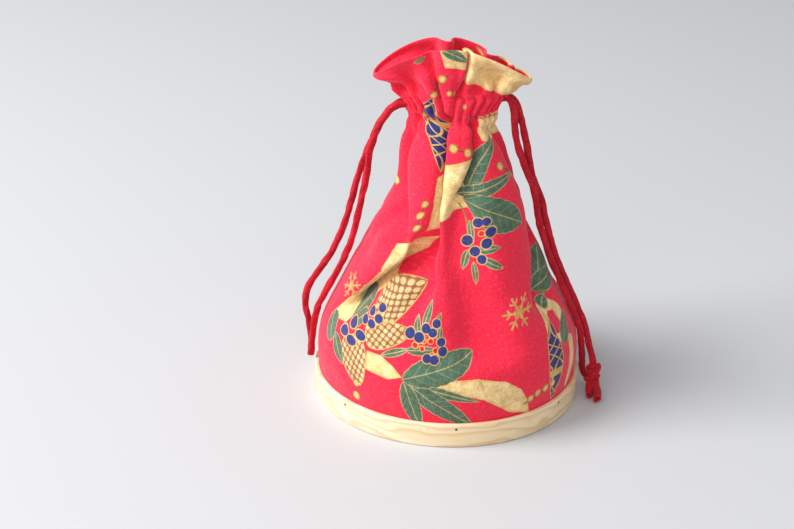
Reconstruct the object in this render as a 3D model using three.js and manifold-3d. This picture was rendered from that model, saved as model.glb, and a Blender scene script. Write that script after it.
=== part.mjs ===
import * as THREE from 'three';
import { mergeVertices } from 'three/addons/utils/BufferGeometryUtils.js';
import Module from 'manifold-3d';

// Drawstring pouch: a gathered cotton bag nailed into a shallow bentwood hoop, with a flat board for
// its floor. Millimetres, +Z up, -Y to the front, origin at the centre of the underside.

const gap = 0.3; // clearance between pieces that touch
const degrees = Math.PI / 180;

const hoop = { insideRadius: 75, wall: 2.5, height: 14, chamfer: 0.6, seamWidth: 0.5, sides: 72 };
const board = { thickness: 4, chamfer: 0.4 };
const innerHoop = { wall: 2.6, height: 9.2, chamfer: 0.4 };
const skirt = { thickness: 0.8 };
const nail = {
  count: 7,
  firstAngle: 5,
  height: 11.3,
  headRadius: 0.75,
  headThickness: 0.5,
  headSink: 0.05,
  shankRadius: 0.45,
  length: 5.1,
};
const sleeve = { around: 48, along: 24 };
const tunnel = { halfWidth: 23, halfDepth: 12, bottom: 170, top: 180, thickness: 5.2 };
const cord = { radius: 2, sides: 8, spread: 2.4 };
const leftRunHeight = 172.6;
const rightRunHeight = 177.4;
const exitReach = 27; // how far from the middle a drawstring leaves its tunnel
const knot = { place: [86.1, -7, 12], radii: [4.6, 4.6, 5.6] };

const colours = { cloth: 0xc81e33, cord: 0xb01225, pine: 0xe6cb9d, board: 0xdcbf90, nail: 0x4a4038 };

const hoopOutsideRadius = hoop.insideRadius + hoop.wall;
const skirtRadius = hoop.insideRadius - gap;
const innerHoopRadius = skirtRadius - skirt.thickness - gap;

// The cloth from its tucked-in edge up to the frill's rim: half width, half depth, height.
const clothStations = [
  [skirtRadius, skirtRadius, board.thickness + gap + 0.3],
  [skirtRadius, skirtRadius, hoop.height - 0.4],
  [75.6, 75.6, 19],
  [76, 75.8, 27],
  [74.6, 74, 38],
  [69.6, 69, 50],
  [61.5, 61, 66],
  [54.5, 53, 82],
  [48.5, 46, 98],
  [43.5, 39.5, 114],
  [37.5, 33, 130],
  [32, 26.5, 146],
  [28.2, 20.5, 159],
  [27, 16, 168],
  [27.2, 16.2, 175],
  [27, 16, 182],
  [31, 16, 187],
  [38, 17, 193],
  [42.5, 18, 200],
  [44.5, 18.5, 207],
];

// At the same stations: wall thickness, depth of the body's folds, depth of the frill's creases.
const clothFullness = [
  [skirt.thickness, 0, 0],
  [skirt.thickness, 0, 0],
  [1, 0, 0],
  [1.4, 0.3, 0],
  [1.6, 0.8, 0],
  [1.6, 1.4, 0],
  [1.6, 2.1, 0],
  [1.7, 2.7, 0],
  [1.8, 3.2, 0],
  [1.8, 3.4, 0],
  [1.9, 3.4, 0],
  [2.2, 3, 0],
  [3.2, 1.6, 0],
  [8, 0, 0],
  [8, 0, 0],
  [8, 0, 0],
  [5.5, 0, 1],
  [3.4, 0, 3],
  [2.6, 0, 5],
  [2.4, 0, 6],
];

// Folds and creases: angle from the front, share of the full depth, half width in degrees.
const bodyFolds = [
  [-14, 1, 8],
  [20, 1, 8],
  [78, 0.7, 9],
  [118, 0.8, 9],
  [165, 0.9, 9],
  [-150, 0.8, 9],
  [-108, 0.6, 8],
  [-62, 0.7, 9],
];
const frillCreases = [
  [6, 1, 9],
  [48, 0.5, 12],
  [-50, 0.5, 12],
  [175, 1, 12],
];
const sideDrop = 0.62; // how much lower the frill's rim lies at its two side tips

const leftFrontRoute = [
  [-27.4, -2.4, leftRunHeight],
  [-29, -2.4, leftRunHeight],
  [-31.6, -2.4, 171.8],
  [-35.2, -2.4, 169.2],
  [-38, -2.4, 165],
  [-41.2, -2.4, 159.5],
  [-46, -2.4, 146],
  [-47.6, -2.4, 132.5],
  [-50.8, -2.4, 115],
  [-53, -2.4, 104.5],
  [-55.2, -2.4, 94],
  [-58.8, -2.4, 83],
  [-63.4, -2.4, 72.5],
  [-68.2, -2.4, 63],
  [-72.2, -2.4, 55],
  [-75.4, -2.4, 48],
  [-77.6, -2.4, 40],
  [-78.8, -2.4, 31],
  [-79.6, -2.4, 24],
  [-80.2, -2.4, 16],
];
const leftBackRoute = [
  [-27.4, 2.4, leftRunHeight],
  [-29, 2.4, leftRunHeight],
  [-31.6, 2.4, 171.5],
  [-35.6, 2.4, 168.2],
  [-39, 2.4, 163],
  [-43.2, 2.4, 155],
  [-48.6, 2.4, 141],
  [-53.3, 2.4, 126.5],
  [-57.8, 2.4, 108],
  [-62.3, 2.4, 93.5],
  [-68.7, 2.4, 79],
  [-76.2, 2.4, 67.5],
  [-81.6, 2.4, 58],
  [-83.6, 2.4, 48.5],
  [-82.6, 2.4, 40.5],
  [-81, 2.4, 33],
  [-80.4, 2.4, 25],
  [-80.2, 2.4, 17],
];
const rightFrontRoute = [
  [27.4, -2.4, rightRunHeight],
  [29, -2.4, rightRunHeight],
  [31.6, -2.4, 175.4],
  [33.2, -2.4, 169.5],
  [34, -2.6, 160.5],
  [36.8, -2.8, 148.5],
  [42, -3, 134.5],
  [45.8, -3, 126],
  [48, -3, 117],
  [49.6, -3.5, 107],
  [53, -4.5, 96.5],
  [57, -5.5, 85],
  [61.6, -6, 75],
  [66.2, -6, 65],
  [70.6, -5.5, 55.5],
  [74.6, -5, 46.5],
  [77.6, -4, 36.5],
  [78.9, -2, 26],
  [80.2, 1, 17],
  [80.6, 3.6, 10.5],
  [82, 3.4, 5.9],
  [84, 0.4, 6],
];
const rightBackRoute = [
  [27.4, 2.4, rightRunHeight],
  [29, 2.4, rightRunHeight],
  [32.4, 2.4, 175.6],
  [35.6, 2.2, 170],
  [38.4, 2.2, 160],
  [41.4, 2.2, 147.5],
  [44.6, 2.2, 133],
  [47.8, 2.2, 124],
  [51.4, 1.8, 116],
  [53.6, 1, 106],
  [57, 0, 95],
  [60.8, -1, 83],
  [66.2, -1.4, 71],
  [70.8, -1.2, 61],
  [75.2, -0.8, 51],
  [79.2, -0.4, 41.5],
  [82, -1, 32],
  [84.4, -3, 24],
  [86, -5.4, 18.1],
];
const knotEndRoutes = [
  [[85.2, -9, 9], [83.8, -12.6, 4.6], [83.1, -17.5, 2.3]],
  [[87.2, -9, 9], [88.6, -14, 4.8], [88.2, -21.5, 2.3]],
];

const wasm = await Module();
wasm.setup();

function toSolid(geometry) {
  const bare = geometry.clone();
  bare.deleteAttribute('normal');
  bare.deleteAttribute('uv');
  const merged = mergeVertices(bare, 1e-4);
  const vertProperties = new Float32Array(merged.attributes.position.array);
  const triVerts = new Uint32Array(merged.index.array);
  return new wasm.Manifold(new wasm.Mesh({ numProp: 3, vertProperties, triVerts }));
}

function toGeometry(solid) {
  const mesh = solid.getMesh();
  const geometry = new THREE.BufferGeometry();
  geometry.setAttribute('position', new THREE.BufferAttribute(mesh.vertProperties, 3));
  geometry.setIndex(new THREE.BufferAttribute(mesh.triVerts, 1));
  geometry.computeVertexNormals();
  return geometry;
}

function namedMesh(name, geometry, colour, roughness, metalness = 0) {
  const material = new THREE.MeshStandardMaterial({ color: colour, roughness, metalness });
  const mesh = new THREE.Mesh(geometry, material);
  mesh.name = name;
  return mesh;
}

// A lathed solid standing on +Z. Its angle 0 faces the front and grows towards +X.
function lathed(outline, sides) {
  const points = outline.map(([radius, height]) => new THREE.Vector2(radius, height));
  return new THREE.LatheGeometry(points, sides).rotateX(Math.PI / 2);
}

function ringOutline(inner, outer, bottom, top, chamfer) {
  return [
    [inner, bottom + chamfer],
    [inner + chamfer, bottom],
    [outer - chamfer, bottom],
    [outer, bottom + chamfer],
    [outer, top - chamfer],
    [outer - chamfer, top],
    [inner + chamfer, top],
    [inner, top - chamfer],
    [inner, bottom + chamfer],
  ];
}

// A stepped round bar along a hoop radius: used for each nail and, made larger, for its hole.
function nailGeometry(angle, clearance) {
  const headRadius = nail.headRadius + clearance;
  const shankRadius = nail.shankRadius + clearance;
  const tip = hoopOutsideRadius - nail.length - clearance;
  const shoulder = hoopOutsideRadius - nail.headSink - nail.headThickness - clearance;
  const face = clearance > 0 ? hoopOutsideRadius + 1 : hoopOutsideRadius - nail.headSink;
  const outline = [
    [0, tip],
    [shankRadius, tip + 0.4],
    [shankRadius, shoulder],
    [headRadius, shoulder],
    [headRadius, face],
    [0, face],
  ];
  const points = outline.map(([radius, height]) => new THREE.Vector2(radius, height));
  const geometry = new THREE.LatheGeometry(points, 16).rotateX(Math.PI);
  geometry.rotateZ(angle * degrees);
  geometry.translate(0, 0, nail.height);
  return geometry;
}

const nailAngles = Array.from({ length: nail.count }, (_, i) => nail.firstAngle + (i * 360) / nail.count);

function withNailHoles(solid) {
  return nailAngles.reduce((result, angle) => result.subtract(toSolid(nailGeometry(angle, gap))), solid);
}

function outerHoopGeometry() {
  const outline = ringOutline(hoop.insideRadius, hoopOutsideRadius, 0, hoop.height, hoop.chamfer);
  const seam = new THREE.BoxGeometry(hoop.seamWidth, 10, 3 * hoop.height);
  seam.rotateY(25 * degrees);
  seam.translate(0, hoop.insideRadius + hoop.wall / 2, hoop.height / 2);
  return toGeometry(withNailHoles(toSolid(lathed(outline, hoop.sides))).subtract(toSolid(seam)));
}

function innerHoopGeometry() {
  const bottom = board.thickness + gap;
  const inner = innerHoopRadius - innerHoop.wall;
  const outline = ringOutline(inner, innerHoopRadius, bottom, bottom + innerHoop.height, innerHoop.chamfer);
  return toGeometry(withNailHoles(toSolid(lathed(outline, hoop.sides))));
}

function boardGeometry() {
  const radius = hoop.insideRadius - gap;
  const outline = [
    [0, 0],
    [radius - board.chamfer, 0],
    [radius, board.chamfer],
    [radius, board.thickness - board.chamfer],
    [radius - board.chamfer, board.thickness],
    [0, board.thickness],
  ];
  return lathed(outline, hoop.sides);
}

// A sleeve one unit tall, of radius 2 outside and 1 inside, that the cloth and its tunnel are shaped from.
function unitSleeve(around, along) {
  const outline = [];
  for (let i = 0; i <= along; i++) outline.push([2, i / along]);
  for (let i = along; i >= 0; i--) outline.push([1, i / along]);
  outline.push([2, 0]);
  return lathed(outline, around);
}

// Moves every point of a sleeve to place(angle, height from 0 to 1, inside or not).
function shaped(geometry, place) {
  const position = geometry.attributes.position;
  for (let i = 0; i < position.count; i++) {
    const x = position.getX(i);
    const y = position.getY(i);
    const inside = Math.hypot(x, y) < 1.5;
    const along = THREE.MathUtils.clamp(position.getZ(i), 0, 1);
    const point = place(Math.atan2(x, -y), along, inside);
    position.setXYZ(i, point.x, point.y, point.z);
  }
  return geometry;
}

function creaseDepth(creases, angle) {
  let depth = 0;
  for (const [middle, share, halfWidth] of creases) {
    const turn = THREE.MathUtils.euclideanModulo(angle / degrees - middle + 180, 360) - 180;
    depth += share * Math.exp(-((turn / halfWidth) ** 2));
  }
  return depth;
}

const toVectors = (rows) => rows.map((row) => new THREE.Vector3(...row));
const clothCurve = new THREE.CatmullRomCurve3(toVectors(clothStations), false, 'catmullrom', 0.5);
const fullnessCurve = new THREE.CatmullRomCurve3(toVectors(clothFullness), false, 'catmullrom', 0.1);

function clothPoint(angle, along, inside) {
  const size = clothCurve.getPoint(along);
  const fullness = fullnessCurve.getPoint(along);
  const wall = inside ? fullness.x : 0;
  const folds = fullness.y * creaseDepth(bodyFolds, angle) + fullness.z * creaseDepth(frillCreases, angle);
  const frill = Math.max(0, size.z - tunnel.top - 2);
  const drop = frill * sideDrop * Math.abs(Math.sin(angle)) ** 3;
  const inset = wall + folds;
  return new THREE.Vector3(
    (size.x - inset) * Math.sin(angle),
    -(size.y - inset) * Math.cos(angle),
    size.z - drop,
  );
}

function tunnelPoint(angle, along, inside) {
  const offset = (inside ? -0.5 : 0.5) * tunnel.thickness;
  return new THREE.Vector3(
    (tunnel.halfWidth + offset) * Math.sin(angle),
    -(tunnel.halfDepth + offset) * Math.cos(angle),
    THREE.MathUtils.lerp(tunnel.bottom, tunnel.top, along),
  );
}

function pouchGeometry() {
  const cloth = toSolid(shaped(unitSleeve(sleeve.around, sleeve.along), clothPoint));
  const casing = toSolid(shaped(unitSleeve(sleeve.around, 1), tunnelPoint));
  let pouch = cloth.subtract(casing);
  for (const side of [-1, 1]) {
    const exit = new THREE.BoxGeometry(12, 4 * cord.spread, tunnel.top - tunnel.bottom);
    exit.translate(side * (tunnel.halfWidth + 4), 0, (tunnel.top + tunnel.bottom) / 2);
    pouch = pouch.subtract(toSolid(exit));
  }
  return toGeometry(withNailHoles(pouch));
}

function cordGeometry(points, steps) {
  const section = new THREE.Shape();
  for (let i = 0; i < cord.sides; i++) {
    const turn = ((i + 0.5) * 2 * Math.PI) / cord.sides;
    const method = i === 0 ? 'moveTo' : 'lineTo';
    section[method](cord.radius * Math.cos(turn), cord.radius * Math.sin(turn));
  }
  section.closePath();
  const extrudePath = new THREE.CatmullRomCurve3(toVectors(points), false, 'centripetal');
  return new THREE.ExtrudeGeometry(section, { steps, extrudePath, bevelEnabled: false });
}

// The stretch of a drawstring inside the neck: out of one side, once round, and back to the same side.
function runRoute(side, height) {
  const straight = exitReach - 1.8;
  const route = [[side * exitReach, -cord.spread, height], [side * straight, -cord.spread, height]];
  const turns = 24;
  for (let i = 0; i <= turns; i++) {
    const angle = THREE.MathUtils.lerp(17, 343, i / turns) * degrees;
    route.push([side * tunnel.halfWidth * Math.cos(angle), -tunnel.halfDepth * Math.sin(angle), height]);
  }
  route.push([side * straight, cord.spread, height], [side * exitReach, cord.spread, height]);
  return route;
}

// The overhand knot that joins the right drawstring's two ends, with the ends that stick out of it.
function knotGeometry() {
  const ball = new THREE.SphereGeometry(1, 20, 14);
  ball.scale(...knot.radii);
  ball.translate(...knot.place);
  const ends = knotEndRoutes.map((route) => toSolid(cordGeometry(route, 8)));
  return toGeometry(ends.reduce((solid, end) => solid.add(end), toSolid(ball)));
}

const pouch = new THREE.Group();
pouch.add(namedMesh('outer_hoop', outerHoopGeometry(), colours.pine, 0.6));
pouch.add(namedMesh('inner_hoop', innerHoopGeometry(), colours.board, 0.65));
pouch.add(namedMesh('base_board', boardGeometry(), colours.board, 0.65));
nailAngles.forEach((angle, i) => {
  pouch.add(namedMesh(`hoop_nail_${i + 1}`, nailGeometry(angle, 0), colours.nail, 0.45, 0.8));
});
pouch.add(namedMesh('pouch_body', pouchGeometry(), colours.cloth, 0.85));
pouch.add(namedMesh('left_drawstring_run', cordGeometry(runRoute(-1, leftRunHeight), 30), colours.cord, 0.85));
pouch.add(namedMesh('left_front_tail', cordGeometry(leftFrontRoute, 18), colours.cord, 0.85));
pouch.add(namedMesh('left_back_tail', cordGeometry(leftBackRoute, 18), colours.cord, 0.85));
pouch.add(namedMesh('right_drawstring_run', cordGeometry(runRoute(1, rightRunHeight), 30), colours.cord, 0.85));
pouch.add(namedMesh('right_front_tail', cordGeometry(rightFrontRoute, 20), colours.cord, 0.85));
pouch.add(namedMesh('right_back_tail', cordGeometry(rightBackRoute, 18), colours.cord, 0.85));
pouch.add(namedMesh('right_knot', knotGeometry(), colours.cord, 0.85));

export default pouch;
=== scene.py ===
import math

import bpy
import numpy as np
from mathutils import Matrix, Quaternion, Vector


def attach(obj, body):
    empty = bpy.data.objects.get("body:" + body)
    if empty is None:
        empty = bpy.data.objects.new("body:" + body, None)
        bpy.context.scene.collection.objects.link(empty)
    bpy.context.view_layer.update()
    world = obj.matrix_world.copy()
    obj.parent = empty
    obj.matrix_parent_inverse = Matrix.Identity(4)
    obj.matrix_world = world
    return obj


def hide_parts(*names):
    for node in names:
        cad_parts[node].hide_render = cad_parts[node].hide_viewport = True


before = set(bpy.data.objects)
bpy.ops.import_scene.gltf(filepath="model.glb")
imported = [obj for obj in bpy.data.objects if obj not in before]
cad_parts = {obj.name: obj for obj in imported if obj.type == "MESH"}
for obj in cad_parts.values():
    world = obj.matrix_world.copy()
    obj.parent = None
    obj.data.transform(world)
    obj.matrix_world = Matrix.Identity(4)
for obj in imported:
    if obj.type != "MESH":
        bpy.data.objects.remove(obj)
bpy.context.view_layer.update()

mm = 0.001


def deselectAll():
    if bpy.context.object and bpy.context.object.mode != "OBJECT":
        bpy.ops.object.mode_set(mode="OBJECT")
    bpy.ops.object.select_all(action="DESELECT")


def activate(piece):
    deselectAll()
    piece.select_set(True)
    bpy.context.view_layer.objects.active = piece


def addModifier(piece, kind, **settings):
    modifier = piece.modifiers.new(kind.title(), kind)
    for key, value in settings.items():
        setattr(modifier, key, value)
    return modifier


def applyModifiers(piece):
    activate(piece)
    for modifier in list(piece.modifiers):
        bpy.ops.object.modifier_apply(modifier=modifier.name)


def newPiece(name, points, faces, material, smooth=True):
    mesh = bpy.data.meshes.new(name)
    mesh.from_pydata([tuple(p) for p in points], [], [tuple(f) for f in faces])
    mesh.update()
    piece = bpy.data.objects.new(name, mesh)
    bpy.context.collection.objects.link(piece)
    mesh.materials.append(material)
    if smooth:
        mesh.polygons.foreach_set("use_smooth", [True] * len(mesh.polygons))
    return piece


def ringFaces(rings, around):
    # four-sided faces between closed rings of points
    faces = []
    for i in range(rings - 1):
        for j in range(around):
            k = (j + 1) % around
            faces.append((i * around + j, i * around + k, (i + 1) * around + k, (i + 1) * around + j))
    return faces


def smoothThrough(stations, t):
    # an even curve through every station, read at t counted in stations
    points = np.array(stations, float)
    last = len(points) - 1
    t = np.atleast_1d(np.asarray(t, float))
    i = np.clip(np.floor(t).astype(int), 0, last - 1)
    f = (t - i)[:, None]
    before = points[np.maximum(i - 1, 0)]
    here = points[i]
    there = points[i + 1]
    after = points[np.minimum(i + 2, last)]
    bend = 2 * before - 5 * here + 4 * there - after
    change = 3 * here - before - 3 * there + after
    return 0.5 * (2 * here + (there - before) * f + bend * f**2 + change * f**3)


def smoothStep(low, high, value):
    t = np.clip((value - low) / (high - low), 0, 1)
    return t * t * (3 - 2 * t)


cameraSetup = {
    "place": (0, -0.8379, 0.4584),
    "aim": (-0.030, 0, 0.0745),
    "roll": 0.9,  # degrees
    "lens": 72.5,
}


def makeCamera():
    data = bpy.data.cameras.new("camera")
    data.lens = cameraSetup["lens"]
    data.sensor_width = 36
    data.clip_start = 0.01
    camera = bpy.data.objects.new("camera", data)
    bpy.context.collection.objects.link(camera)
    camera.location = cameraSetup["place"]
    gaze = Vector(cameraSetup["aim"]) - camera.location
    camera.rotation_mode = "QUATERNION"
    roll = Quaternion((0, 0, 1), math.radians(cameraSetup["roll"]))
    camera.rotation_quaternion = gaze.to_track_quat("-Z", "Y") @ roll
    bpy.context.scene.camera = camera


makeCamera()
print("camera placed")


def startMaterial(name):
    material = bpy.data.materials.new(name)
    material.use_nodes = True
    return material, material.node_tree, material.node_tree.nodes["Principled BSDF"]


def feed(tree, socket, value):
    if isinstance(value, bpy.types.NodeSocket):
        tree.links.new(value, socket)
    else:
        socket.default_value = value


def calc(tree, operation, *values):
    node = tree.nodes.new("ShaderNodeMath")
    node.operation = operation
    for socket, value in zip(node.inputs, values):
        feed(tree, socket, value)
    return node.outputs[0]


def times(tree, first, second):
    return calc(tree, "MULTIPLY", first, second)


def plus(tree, first, second):
    return calc(tree, "ADD", first, second)


def minus(tree, first, second):
    return calc(tree, "SUBTRACT", first, second)


def stepLength(tree, first, second):
    # the length of a step given by its two sides
    return calc(tree, "SQRT", plus(tree, times(tree, first, first), times(tree, second, second)))


def vectorCalc(tree, operation, first, second):
    node = tree.nodes.new("ShaderNodeVectorMath")
    node.operation = operation
    feed(tree, node.inputs[0], first)
    feed(tree, node.inputs[3] if operation == "SCALE" else node.inputs[1], second)
    return node.outputs["Value"] if operation in ("DOT_PRODUCT", "DISTANCE") else node.outputs["Vector"]


def joinAxes(tree, *axes):
    node = tree.nodes.new("ShaderNodeCombineXYZ")
    for socket, value in zip(node.inputs, axes):
        feed(tree, socket, value)
    return node.outputs[0]


def splitAxes(tree, vector):
    node = tree.nodes.new("ShaderNodeSeparateXYZ")
    tree.links.new(vector, node.inputs[0])
    return node.outputs


def ramp(tree, value, low, high, soft=True):
    # 0 at low, 1 at high
    node = tree.nodes.new("ShaderNodeMapRange")
    node.interpolation_type = "SMOOTHSTEP" if soft else "LINEAR"
    feed(tree, node.inputs["Value"], value)
    feed(tree, node.inputs["From Min"], low)
    feed(tree, node.inputs["From Max"], high)
    return node.outputs["Result"]


def blend(tree, share, under, over):
    node = tree.nodes.new("ShaderNodeMix")
    node.data_type = "RGBA"
    feed(tree, node.inputs[0], share)
    feed(tree, node.inputs[6], under)
    feed(tree, node.inputs[7], over)
    return node.outputs[2]


def noise(tree, vector, scale, detail=2, roughness=0.5):
    node = tree.nodes.new("ShaderNodeTexNoise")
    feed(tree, node.inputs["Vector"], vector)
    node.inputs["Scale"].default_value = scale
    node.inputs["Detail"].default_value = detail
    node.inputs["Roughness"].default_value = roughness
    return node.outputs["Fac"]


def relief(tree, height, strength, depth, over=None):
    # a bump, lying over another one where that is given
    node = tree.nodes.new("ShaderNodeBump")
    node.inputs["Strength"].default_value = strength
    node.inputs["Distance"].default_value = depth
    tree.links.new(height, node.inputs["Height"])
    if over is not None:
        tree.links.new(over, node.inputs["Normal"])
    return node.outputs[0]


def flatMillimetres(tree, layer):
    # places on a piece's own flat cloth
    node = tree.nodes.new("ShaderNodeUVMap")
    node.uv_map = layer
    return vectorCalc(tree, "SCALE", node.outputs[0], 1 / mm)


def standingMillimetres(tree):
    # places in the room
    return vectorCalc(tree, "SCALE", tree.nodes.new("ShaderNodeTexCoord").outputs["Object"], 1 / mm)


def startGroup(name, inputs, outputs):
    group = bpy.data.node_groups.new(name, "ShaderNodeTree")
    for label, kind, value in inputs:
        socket = group.interface.new_socket(label, in_out="INPUT", socket_type="NodeSocket" + kind)
        if value is not None:
            socket.default_value = value
    for label, kind in outputs:
        group.interface.new_socket(label, in_out="OUTPUT", socket_type="NodeSocket" + kind)
    return group, group.nodes.new("NodeGroupInput").outputs


def endGroup(group, **results):
    gate = group.nodes.new("NodeGroupOutput")
    for label, value in results.items():
        group.links.new(value, gate.inputs[label])
    return group


def useGroup(tree, group, **values):
    node = tree.nodes.new("ShaderNodeGroup")
    node.node_tree = group
    for label, value in values.items():
        feed(tree, node.inputs[label], value)
    return node.outputs


gold = (0.64, 0.38, 0.1, 1)
paleGold = (0.78, 0.56, 0.24, 1)
ribbonGold = (0.86, 0.6, 0.26, 1)
leafGreen = (0.07, 0.15, 0.09, 1)
berryBlue = (0.02, 0.038, 0.18, 1)
coneBrown = (0.27, 0.11, 0.035, 1)


def localAxes(group, sockets):
    # millimetres along and across a printed shape, from its own place and turn
    shifted = vectorCalc(group, "SUBTRACT", sockets["Plan"], sockets["Place"])
    back = times(group, sockets["Turn"], -1)
    turned = group.nodes.new("ShaderNodeVectorRotate")
    turned.rotation_type = "Z_AXIS"
    group.links.new(shifted, turned.inputs["Vector"])
    group.links.new(back, turned.inputs["Angle"])
    return splitAxes(group, turned.outputs[0])[:2]


def bellied(group, inside, fullness, rise):
    # how wide a shape is along its length, from nothing at the foot to nothing at the tip
    return times(group, times(group, calc(group, "POWER", inside, rise), minus(group, 1, inside)), fullness)


stampInputs = [
    ("Plan", "Vector", None),
    ("Under", "Color", None),
    ("Place", "Vector", None),
    ("Turn", "Float", 0),
    ("Length", "Float", 20),
    ("Width", "Float", 10),
]


def makeLeafStamp():
    inputs = stampInputs + [("Flesh", "Color", leafGreen), ("Veins", "Float", 6)]
    group, s = startGroup("printed leaf", inputs, [("Colour", "Color")])
    along, across = localAxes(group, s)
    x = calc(group, "DIVIDE", along, s["Length"])
    inside = ramp(group, x, 0, 1, False)
    side = calc(group, "ABSOLUTE", across)
    belly = bellied(group, inside, 3.4, 0.8)
    teeth = calc(group, "PINGPONG", times(group, inside, 9), 0.5)
    half = times(group, times(group, calc(group, "POWER", belly, 0.8), s["Width"]), 0.5)
    half = times(group, half, calc(group, "MULTIPLY_ADD", teeth, 0.14, 0.94))
    edge = minus(group, half, side)
    mask = ramp(group, edge, 0.0, 0.25)
    rim = ramp(group, edge, 0.75, 0.45)
    middle = ramp(group, side, 0.42, 0.16)
    slope = times(group, calc(group, "DIVIDE", side, s["Length"]), 1.2)
    rib = calc(group, "PINGPONG", times(group, minus(group, inside, slope), s["Veins"]), 0.5)
    veins = ramp(group, rib, 0.075, 0.03)
    lines = calc(group, "MAXIMUM", rim, calc(group, "MAXIMUM", middle, times(group, veins, 0.34)))
    colour = blend(group, times(group, lines, 0.85), s["Flesh"], (0.5, 0.37, 0.15, 1))
    return endGroup(group, Colour=blend(group, mask, s["Under"], colour))


def makeConeStamp():
    # a cone of overlapping pale scales, narrowing towards its tip
    inputs = stampInputs + [("Scales", "Color", paleGold)]
    group, s = startGroup("printed cone", inputs, [("Colour", "Color")])
    along, across = localAxes(group, s)
    x = ramp(group, calc(group, "DIVIDE", along, s["Length"]), 0, 1, False)
    belly = bellied(group, x, 2.45, 0.45)
    half = times(group, times(group, calc(group, "POWER", belly, 0.6), s["Width"]), 0.5)
    edge = minus(group, half, calc(group, "ABSOLUTE", across))
    rise = times(group, along, 0.2)
    slide = times(group, across, 0.24)
    first = calc(group, "PINGPONG", plus(group, rise, plus(group, slide, 20)), 0.5)
    second = calc(group, "PINGPONG", plus(group, minus(group, rise, slide), 20), 0.5)
    pale = ramp(group, times(group, first, second), 0.005, 0.085)
    body = blend(group, pale, coneBrown, s["Scales"])
    body = blend(group, ramp(group, edge, 0.9, 0.4), body, gold)
    return endGroup(group, Colour=blend(group, ramp(group, edge, 0, 0.25), s["Under"], body))


def makeSnowflakeStamp():
    # six arms, each with two pairs of side branches
    group, s = startGroup("printed snowflake", stampInputs, [("Colour", "Color")])
    along, across = localAxes(group, s)
    reach = stepLength(group, along, across)
    angle = plus(group, calc(group, "ARCTAN2", across, along), 2 * math.pi)
    angle = calc(group, "PINGPONG", angle, math.pi / 6)
    out = calc(group, "DIVIDE", times(group, reach, calc(group, "COSINE", angle)), s["Length"])
    off = calc(group, "DIVIDE", times(group, reach, calc(group, "SINE", angle)), s["Length"])
    arm = times(group, ramp(group, off, 0.075, 0.045), ramp(group, out, 1, 0.96))
    marks = arm
    for foot, size in ((0.2, 0.12), (0.52, 0.26)):
        slant = calc(group, "ABSOLUTE", minus(group, minus(group, out, foot), times(group, off, 0.75)))
        branch = times(group, ramp(group, slant, 0.075, 0.045), ramp(group, off, size + 0.02, size - 0.02))
        marks = calc(group, "MAXIMUM", marks, branch)
    heart = ramp(group, reach, times(group, s["Length"], 0.2), times(group, s["Length"], 0.16))
    marks = calc(group, "MAXIMUM", marks, heart)
    return endGroup(group, Colour=blend(group, times(group, marks, 0.92), s["Under"], gold))


def makeBaubleStamp():
    # a long dark bauble with a gold rim, bands and crossing lines
    group, s = startGroup("printed bauble", stampInputs, [("Colour", "Color")])
    along, across = localAxes(group, s)
    x = ramp(group, calc(group, "DIVIDE", along, s["Length"]), 0, 1, False)
    belly = times(group, times(group, x, minus(group, 1, x)), 4)
    half = times(group, times(group, belly, s["Width"]), 0.5)
    edge = minus(group, half, calc(group, "ABSOLUTE", across))
    curl = times(group, calc(group, "SINE", times(group, along, 0.21)), 0.45)
    rising = times(group, plus(group, along, across), 0.11)
    first = calc(group, "PINGPONG", plus(group, rising, curl), 0.5)
    falling = times(group, minus(group, along, across), 0.09)
    second = calc(group, "PINGPONG", plus(group, falling, curl), 0.5)
    lines = calc(group, "MAXIMUM", ramp(group, first, 0.11, 0.06), ramp(group, second, 0.09, 0.05))
    band = ramp(group, calc(group, "ABSOLUTE", minus(group, x, 0.36)), 0.045, 0.035)
    lines = calc(group, "MAXIMUM", lines, calc(group, "MAXIMUM", band, ramp(group, edge, 1, 0.7)))
    body = blend(group, lines, (0.014, 0.026, 0.15, 1), gold)
    return endGroup(group, Colour=blend(group, ramp(group, edge, 0, 0.25), s["Under"], body))


def makeLineStamp():
    # a thin drawn line, for stems and for the thread between beads
    group, s = startGroup("printed line", stampInputs + [("Ink", "Color", gold)], [("Colour", "Color")])
    along, across = localAxes(group, s)
    beyond = minus(group, along, calc(group, "MINIMUM", calc(group, "MAXIMUM", along, 0), s["Length"]))
    away = stepLength(group, beyond, across)
    edge = minus(group, times(group, s["Width"], 0.5), away)
    return endGroup(group, Colour=blend(group, ramp(group, edge, -0.1, 0.15), s["Under"], s["Ink"]))


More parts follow.
